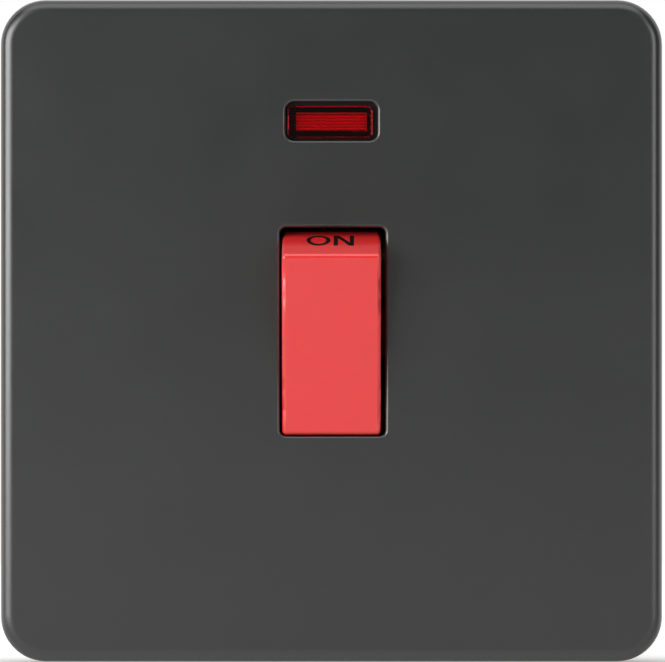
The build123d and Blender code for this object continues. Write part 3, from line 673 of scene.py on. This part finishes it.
def new_piece(name, bm, body, with_finish):
    """Turn a bmesh into a finished piece that moves with a body."""
    mesh = bpy.data.meshes.new(name)
    bm.to_mesh(mesh)
    bm.free()
    mesh.materials.append(finish(with_finish))
    piece = bpy.data.objects.new(name, mesh)
    bpy.context.scene.collection.objects.link(piece)
    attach(piece, body)
    return piece


def smooth(piece, angle=35):
    """Smooth shading, apart from edges sharper than this many degrees."""
    mesh = piece.data
    mesh.shade_smooth()
    mesh.set_sharp_from_angle(angle=radians(angle))


# Pieces


class SWITCH_OT_plate(bpy.types.Operator):
    """Paint the front plate and finish the liner moulded for its inside"""

    bl_idname = "switch.plate"
    bl_label = "Front Plate"

    def execute(self, context):
        coat("front_plate", with_finish="plate_paint")
        coat("plate_liner", with_finish="black_moulding")
        return {"FINISHED"}


class SWITCH_OT_frame(bpy.types.Operator):
    """Plate the yoke, and finish its spring clips and the two halves of the housing"""

    bl_idname = "switch.frame"
    bl_label = "Yoke and Housing"

    def execute(self, context):
        coat("yoke", with_finish="zinc_steel")
        coat(*[f"plate_clip_{place}" for place in CLIP_PLACES], with_finish="spring_steel")
        coat("switch_cover", "switch_base", with_finish="black_moulding")
        return {"FINISHED"}


class SWITCH_OT_rocker(bpy.types.Operator):
    """Finish the rocker and its plungers, and put a copy of each plunger spring on the rocker in the spring's
    place
    """

    bl_idname = "switch.rocker"
    bl_label = "Rocker"

    def execute(self, context):
        coat("rocker", with_finish="red_gloss")
        coat(*[f"plunger_{pole}" for pole in POLES], with_finish="white_moulding")
        for pole in POLES:
            name = f"plunger_spring_{pole}"
            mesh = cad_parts[name].data.copy()
            mesh.materials.clear()
            mesh.materials.append(finish("spring_steel"))
            coil = bpy.data.objects.new(f"plunger_coil_{pole}", mesh)
            context.scene.collection.objects.link(coil)
            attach(coil, "rocker")
            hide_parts(name)
            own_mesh(coil)
        return {"FINISHED"}


def letter_o(bm, width, height, stroke, left):
    """A round letter as a flat ring, with its left edge here and its foot on the line."""
    rings = []
    for inset in (0, stroke):
        made = bmesh.ops.create_circle(bm, cap_ends=False, segments=72, radius=1.0)
        bmesh.ops.scale(bm, vec=(width / 2 - inset, height / 2 - inset, 1), verts=made["verts"])
        bmesh.ops.translate(bm, vec=(left + width / 2, height / 2, 0), verts=made["verts"])
        rings += list({edge for vert in made["verts"] for edge in vert.link_edges})
    bmesh.ops.bridge_loops(bm, edges=rings)


def letter_bar(bm, left, foot, width, height, lean=0.0):
    """An upright bar of a letter; lean moves its top sideways."""
    made = bmesh.ops.create_grid(bm, x_segments=2, y_segments=12, size=0.5)
    bmesh.ops.scale(bm, vec=(width, height, 1), verts=made["verts"])
    bmesh.ops.translate(bm, vec=(left + width / 2, foot + height / 2, 0), verts=made["verts"])
    for vert in made["verts"]:
        vert.co.x += lean * (vert.co.y - foot) / height


def letter_n(bm, width, height, stroke, left):
    """A straight letter: two stems and a diagonal from the top left."""
    letter_bar(bm, left, 0, stroke, height)
    letter_bar(bm, left + width - stroke, 0, stroke, height)
    diagonal = stroke * DIAGONAL_STROKE
    letter_bar(bm, left + width - diagonal, 0, diagonal, height, lean=diagonal - width)


def letter_f(bm, width, height, stroke, left):
    """A stem with two arms."""
    letter_bar(bm, left, 0, stroke, height)
    letter_bar(bm, left, height - stroke, width, stroke)
    letter_bar(bm, left, (height - stroke) / 2, width * F_SHORT_ARM, stroke)


class SWITCH_OT_lettering(bpy.types.Operator):
    """Print ON and OFF in black on the rocker's two end faces"""

    bl_idname = "switch.lettering"
    bl_label = "Rocker Lettering"

    def print_word(self, name, letters, facing):
        """Lay flat letters along the end face, on its surface."""
        look = bpy.context.scene.switch_rocker
        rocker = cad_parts["rocker"]
        surface = BVHTree.FromPolygons(
            [v.co for v in rocker.data.vertices], [list(p.vertices) for p in rocker.data.polygons]
        )
        tilt = Matrix.Rotation(ROCKER_TILT, 4, "X")
        # Measured on the top end for both words: untilted, the bottom end is its mirror image
        foot = self.face_depth(surface, tilt, look.letter_foot)
        head = self.face_depth(surface, tilt, look.letter_top)
        height = head - foot
        widths = {"O": look.o_width, "N": look.n_width, "F": look.n_width * F_WIDTH}
        makers = {"O": letter_o, "N": letter_n, "F": letter_f}
        total = sum(widths[c] for c in letters) + look.letter_gap * (len(letters) - 1)
        bm = bmesh.new()
        left = look.letter_shift - total / 2
        for letter in letters:
            makers[letter](bm, widths[letter], height, look.stroke, left)
            left += widths[letter] + look.letter_gap
        down = (tilt @ Vector((0, 0, -facing))).normalized()
        for vert in bm.verts:
            depth = foot + vert.co.y if facing > 0 else head - vert.co.y
            start = tilt @ Vector((vert.co.x, depth, facing * RAY_HEIGHT))
            hit, normal, _, _ = surface.ray_cast(start, down)
            outward = normal if normal.dot(down) < 0 else -normal
            vert.co = hit + outward * look.ink_height
        bmesh.ops.recalc_face_normals(bm, faces=bm.faces)
        for face in bm.faces:
            if face.normal.dot(down) > 0:
                face.normal_flip()
        new_piece(name, bm, "rocker", "black_ink")

    def face_depth(self, surface, tilt, height):
        """How deep the top end face stands, before tilting, where it has this height from the front."""
        hit, _, _, _ = surface.ray_cast(Vector((0, -RAY_DISTANCE, height)), Vector((0, 1, 0)))
        return (tilt.inverted() @ hit).y

    def execute(self, context):
        self.print_word("on_lettering", "ON", 1)
        self.print_word("off_lettering", "OFF", -1)
        return {"FINISHED"}


def rod_along_x(bm, place, radius, length, segments):
    """Add a capped rod along X with its middle here."""
    turned = Matrix.Translation(place) @ Matrix.Rotation(radians(90), 4, "Y")
    bmesh.ops.create_cone(
        bm, cap_ends=True, segments=segments, radius1=radius, radius2=radius, depth=length, matrix=turned
    )


class SWITCH_OT_neon(bpy.types.Operator):
    """Finish the neon window and its leads, and add the lamp's electrodes and the resistor's bands"""

    bl_idname = "switch.neon"
    bl_label = "Neon Window"

    def execute(self, context):
        coat("neon_lens", with_finish="red_lens")
        coat("neon_lamp", with_finish="lamp_glass")
        coat("neon_resistor", with_finish="resistor_lacquer")
        coat("neon_lead_live", "neon_lead_link", "neon_lead_neutral", with_finish="tinned_wire")

        low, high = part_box("neon_lamp")
        middle = (low + high) / 2
        bm = bmesh.new()
        rod = ELECTRODE_LENGTH * (high.x - low.x)
        wire = high.x - middle.x - (ELECTRODE_SHIFT + 0.5) * rod
        for up in (-1, 1):
            place = (middle.x + ELECTRODE_SHIFT * rod, middle.y, middle.z + up * ELECTRODE_OFFSET)
            rod_along_x(bm, place, ELECTRODE_RADIUS, rod, segments=20)
            place = (high.x - wire / 2 - WIRE_END, middle.y, middle.z + up * WIRE_OFFSET)
            rod_along_x(bm, place, WIRE_RADIUS, wire, segments=12)
        smooth(new_piece("lamp_electrodes", bm, "frame", "nickel"))

        low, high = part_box("neon_resistor")
        middle = (low + high) / 2
        for number, (along, share, colour) in enumerate(BANDS, start=1):
            bm = bmesh.new()
            radius = share * (high.z - low.z) / 2 + BAND_HEIGHT
            place = (middle.x + along * (high.x - low.x), middle.y, middle.z)
            rod_along_x(bm, place, radius, BAND_WIDTH, segments=40)
            smooth(new_piece(f"resistor_band_{number}", bm, "frame", colour))
        return {"FINISHED"}


class SWITCH_OT_contacts(bpy.types.Operator):
    """Finish the see-saw contacts, their tips and the brass strips"""

    bl_idname = "switch.contacts"
    bl_label = "Contacts"

    def execute(self, context):
        for pole in POLES:
            coat(f"see_saw_{pole}", with_finish="copper")
            coat(f"moving_tip_{pole}", f"fixed_tip_{pole}", with_finish="silver")
            coat(f"fulcrum_strip_{pole}", f"contact_strip_{pole}", with_finish="brass")
        return {"FINISHED"}


def threaded_rod(low, high, pitch, steps, chamfer):
    """A screw thread along Y that fills this box, with capped and chamfered ends."""
    radius = (high.x - low.x) / 2
    root = radius - THREAD_DEPTH * pitch
    axis = (low + high) / 2
    start = low.y - THREAD_RUN_OUT * pitch
    turns = int((high.y - low.y) / pitch) + SPARE_TURNS
    profile = [(root, share) for share in THREAD_ROOT]
    profile += [(radius, share) for share in THREAD_CREST]
    profile.append((root, 1 + THREAD_ROOT[0]))
    bm = bmesh.new()
    verts = [bm.verts.new((axis.x + r, start + share * pitch, axis.z)) for r, share in profile]
    edges = [bm.edges.new(pair) for pair in zip(verts, verts[1:])]
    bmesh.ops.spin(
        bm,
        geom=verts + edges,
        cent=(axis.x, start, axis.z),
        axis=(0, 1, 0),
        dvec=(0, pitch / steps, 0),
        angle=turns * 2 * pi,
        steps=turns * steps,
        use_merge=False,
    )
    bmesh.ops.remove_doubles(bm, verts=bm.verts, dist=WELD_DISTANCE)
    for end, outward in ((low.y, -1), (high.y, 1)):
        bmesh.ops.bisect_plane(
            bm,
            geom=bm.verts[:] + bm.edges[:] + bm.faces[:],
            plane_co=(0, end, 0),
            plane_no=(0, outward, 0),
            clear_outer=True,
        )
    bmesh.ops.holes_fill(bm, edges=[edge for edge in bm.edges if edge.is_boundary], sides=0)
    for vert in bm.verts:
        from_axis = Vector((vert.co.x - axis.x, 0, vert.co.z - axis.z))
        from_end = min(vert.co.y - low.y, high.y - vert.co.y)
        allowed = radius - chamfer + from_end
        if from_axis.length > allowed:
            from_axis *= allowed / from_axis.length
            vert.co = Vector((axis.x, vert.co.y, axis.z)) + from_axis
    bmesh.ops.recalc_face_normals(bm, faces=bm.faces)
    return bm


def cut_away(bm, cutter_matrix):
    """Cut a unit cube with this matrix out of a solid mesh."""
    solid = bpy.data.meshes.new("solid")
    bm.to_mesh(solid)
    bm.clear()
    bmesh.ops.create_cube(bm, size=1, matrix=cutter_matrix)
    cube = bpy.data.meshes.new("cutter")
    bm.to_mesh(cube)
    body = bpy.data.objects.new("solid", solid)
    cutter = bpy.data.objects.new("cutter", cube)
    for made in (body, cutter):
        bpy.context.scene.collection.objects.link(made)
    slot = body.modifiers.new("slot", "BOOLEAN")
    slot.operation = "DIFFERENCE"
    slot.solver = "EXACT"
    slot.object = cutter
    result = bpy.data.meshes.new_from_object(body.evaluated_get(bpy.context.evaluated_depsgraph_get()))
    bm.clear()
    bm.from_mesh(result)
    for made in (body, cutter):
        bpy.data.objects.remove(made)
    for mesh in (solid, cube, result):
        bpy.data.meshes.remove(mesh)


class SWITCH_OT_terminals(bpy.types.Operator):
    """Finish the terminals and cut the threads of their screws"""

    bl_idname = "switch.terminals"
    bl_label = "Terminals and Screws"

    def thread(self, node_name, pitch):
        """Put a threaded and slotted screw in a plain one's place."""
        sizes = bpy.context.scene.switch_threads
        low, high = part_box(node_name)
        bm = threaded_rod(low, high, pitch, sizes.steps, sizes.chamfer)
        middle = (low + high) / 2
        # The cutter is wider than the screw, and half of its depth stands outside the screw's end
        slot_middle = Vector((middle.x, high.y, middle.z))
        slot_size = (3 * (high.x - low.x), 2 * sizes.slot_depth, sizes.slot_width)
        cut_away(bm, Matrix.Translation(slot_middle) @ Matrix.Diagonal((*slot_size, 1)))
        screw = new_piece(f"{node_name}_thread", bm, node_name, "screw_steel")
        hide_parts(node_name)
        smooth(screw, 30)

    def execute(self, context):
        sizes = context.scene.switch_threads
        for pole in POLES:
            for end in ENDS:
                coat(f"terminal_{end}_{pole}", with_finish="brass")
                self.thread(f"clamp_screw_{end}_{pole}", sizes.clamp_pitch)
        coat("earth_terminal", with_finish="brass")
        self.thread("earth_screw", sizes.earth_pitch)
        coat(*[f"body_screw_{number}" for number in range(1, 5)], with_finish="screw_steel")
        return {"FINISHED"}


# Stage


def area_lamp(name, place, width, height, watts):
    """A rectangular soft lamp that points from its place to the middle of the scene."""
    light = bpy.data.lights.new(name, "AREA")
    light.shape = "RECTANGLE"
    light.size = width
    light.size_y = height
    light.energy = watts
    lamp = bpy.data.objects.new(name, light)
    lamp.location = place
    lamp.rotation_mode = "QUATERNION"
    lamp.rotation_quaternion = (Vector() - Vector(place)).to_track_quat("-Z", "Y")
    bpy.context.scene.collection.objects.link(lamp)


def seen_rays(tree):
    """One for camera, glossy and transmission rays, and nought for the rest."""
    rays = tree.nodes.new("ShaderNodeLightPath")
    seen = maths(tree, "MAXIMUM", rays.outputs["Is Camera Ray"], rays.outputs["Is Glossy Ray"])
    return maths(tree, "MAXIMUM", seen, rays.outputs["Is Transmission Ray"])


def flat_sheet(name, matrix, size, material):
    """A large flat stage piece."""
    bm = bmesh.new()
    bmesh.ops.create_grid(bm, x_segments=1, y_segments=1, size=size / 2, matrix=matrix)
    mesh = bpy.data.meshes.new(name)
    bm.to_mesh(mesh)
    bm.free()
    mesh.materials.append(material)
    piece = bpy.data.objects.new(name, mesh)
    bpy.context.scene.collection.objects.link(piece)


class SWITCH_OT_stage(bpy.types.Operator):
    """Set out the floor, the white backdrop, the lamps and the camera"""

    bl_idname = "switch.stage"
    bl_label = "Stage"

    def lay_floor(self, stage, plate_low):
        """A pale floor that grows white behind the plate, as seen and mirrored only."""
        paint, shader = new_finish("floor_paint", base_color=(0.86, 0.86, 0.85, 1), roughness=0.9)
        tree = paint.node_tree
        place = object_axes(tree)
        values = {
            "From Min": plate_low.y - FLOOR_FADE / 3,
            "From Max": plate_low.y + FLOOR_FADE,
            "To Max": stage.floor_glow,
        }
        fade = node(tree, "ShaderNodeMapRange", values, interpolation_type="SMOOTHSTEP")
        tree.links.new(place["Y"], fade.inputs["Value"])
        glow = maths(tree, "MULTIPLY", fade.outputs["Result"], seen_rays(tree))
        shader.inputs["Emission Color"].default_value = (1, 1, 1, 1)
        tree.links.new(glow, shader.inputs["Emission Strength"])
        height = plate_low.z - stage.floor_gap
        flat_sheet("floor", Matrix.Translation((0, 0, height)), FLOOR_SIZE, paint)

    def hang_backdrop(self):
        """A white sheet behind the switch, seen from the front and casting no light."""
        backdrop = bpy.data.materials.new("backdrop_white")
        backdrop.use_nodes = True
        tree = backdrop.node_tree
        tree.nodes.clear()
        output = tree.nodes.new("ShaderNodeOutputMaterial")
        glow = node(tree, "ShaderNodeEmission", {"Color": (1, 1, 1, 1), "Strength": 1.0})
        clear = tree.nodes.new("ShaderNodeBsdfTransparent")
        facing = node(tree, "ShaderNodeNewGeometry").outputs["Backfacing"]
        shown = maths(tree, "MULTIPLY", seen_rays(tree), maths(tree, "SUBTRACT", 1.0, facing))
        mix = tree.nodes.new("ShaderNodeMixShader")
        tree.links.new(shown, mix.inputs[0])
        tree.links.new(clear.outputs[0], mix.inputs[1])
        tree.links.new(glow.outputs[0], mix.inputs[2])
        tree.links.new(mix.outputs[0], output.inputs["Surface"])
        stand = Matrix.Translation((0, BACKDROP_DISTANCE, 0)) @ Matrix.Rotation(radians(90), 4, "X")
        flat_sheet("backdrop", stand, BACKDROP_SIZE, backdrop)

    def light(self, context, stage):
        """A dim grey world and three soft lamps."""
        world = bpy.data.worlds.new("studio")
        context.scene.world = world
        world.use_nodes = True
        sky = world.node_tree.nodes["Background"]
        sky.inputs["Color"].default_value = (1, 1, 1, 1)
        sky.inputs["Strength"].default_value = stage.world_grey
        for name, place, width, height, power in LAMPS:
            area_lamp(name, place, width, height, getattr(stage, power))

    def place_camera(self, context, stage, low, high):
        """A camera that looks straight at the plate and frames it as the photo does."""
        lens = bpy.data.cameras.new("camera")
        lens.sensor_width = SENSOR_WIDTH
        view_width = (high.x - low.x) * PHOTO_WIDTH_PX / PLATE_WIDTH_PX
        lens.lens = SENSOR_WIDTH * stage.camera_distance / view_width
        lens.clip_start = stage.camera_distance / 20
        lens.clip_end = CLIP_END
        camera = bpy.data.objects.new("camera", lens)
        pixel = view_width / PHOTO_WIDTH_PX
        centre = (low + high) / 2
        camera.location = (
            centre.x - PLATE_OFFSET_PX[0] * pixel,
            PLATE_RIM - stage.camera_distance,
            centre.z - PLATE_OFFSET_PX[1] * pixel,
        )
        camera.rotation_euler = (radians(90), 0, 0)
        context.scene.collection.objects.link(camera)
        context.scene.camera = camera

    def execute(self, context):
        stage = context.scene.switch_stage
        low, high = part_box("front_plate")
        self.lay_floor(stage, low)
        self.hang_backdrop()
        self.light(context, stage)
        self.place_camera(context, stage, low, high)
        context.scene.view_settings.view_transform = "Standard"
        return {"FINISHED"}


OPERATORS = (
    SWITCH_OT_plate,
    SWITCH_OT_frame,
    SWITCH_OT_rocker,
    SWITCH_OT_lettering,
    SWITCH_OT_neon,
    SWITCH_OT_contacts,
    SWITCH_OT_terminals,
    SWITCH_OT_stage,
)
SETTINGS = {
    "switch_paint": PaintSettings,
    "switch_rocker": RockerSettings,
    "switch_threads": ThreadSettings,
    "switch_stage": StageSettings,
}


class SWITCH_PT_panel(bpy.types.Panel):
    """Sizes, colours and pieces of the switch"""

    bl_idname = "SWITCH_PT_panel"
    bl_label = "Double Pole Switch"
    bl_space_type = "VIEW_3D"
    bl_region_type = "UI"
    bl_category = "Switch"

    def draw(self, context):
        for key, group in SETTINGS.items():
            box = self.layout.box()
            for name in group.__annotations__:
                box.prop(getattr(context.scene, key), name)
        for operator in OPERATORS:
            self.layout.operator(operator.bl_idname)


def register():
    for cls in (*SETTINGS.values(), *OPERATORS, SWITCH_PT_panel):
        bpy.utils.register_class(cls)
    for key, group in SETTINGS.items():
        setattr(bpy.types.Scene, key, PointerProperty(type=group))


def unregister():
    for key in SETTINGS:
        delattr(bpy.types.Scene, key)
    for cls in reversed((*SETTINGS.values(), *OPERATORS, SWITCH_PT_panel)):
        bpy.utils.unregister_class(cls)


def main():
    register()
    bpy.ops.switch.plate()
    bpy.ops.switch.frame()
    bpy.ops.switch.rocker()
    bpy.ops.switch.lettering()
    bpy.ops.switch.neon()
    bpy.ops.switch.contacts()
    bpy.ops.switch.terminals()
    bpy.ops.switch.stage()


if __name__ == "__main__":
    main()
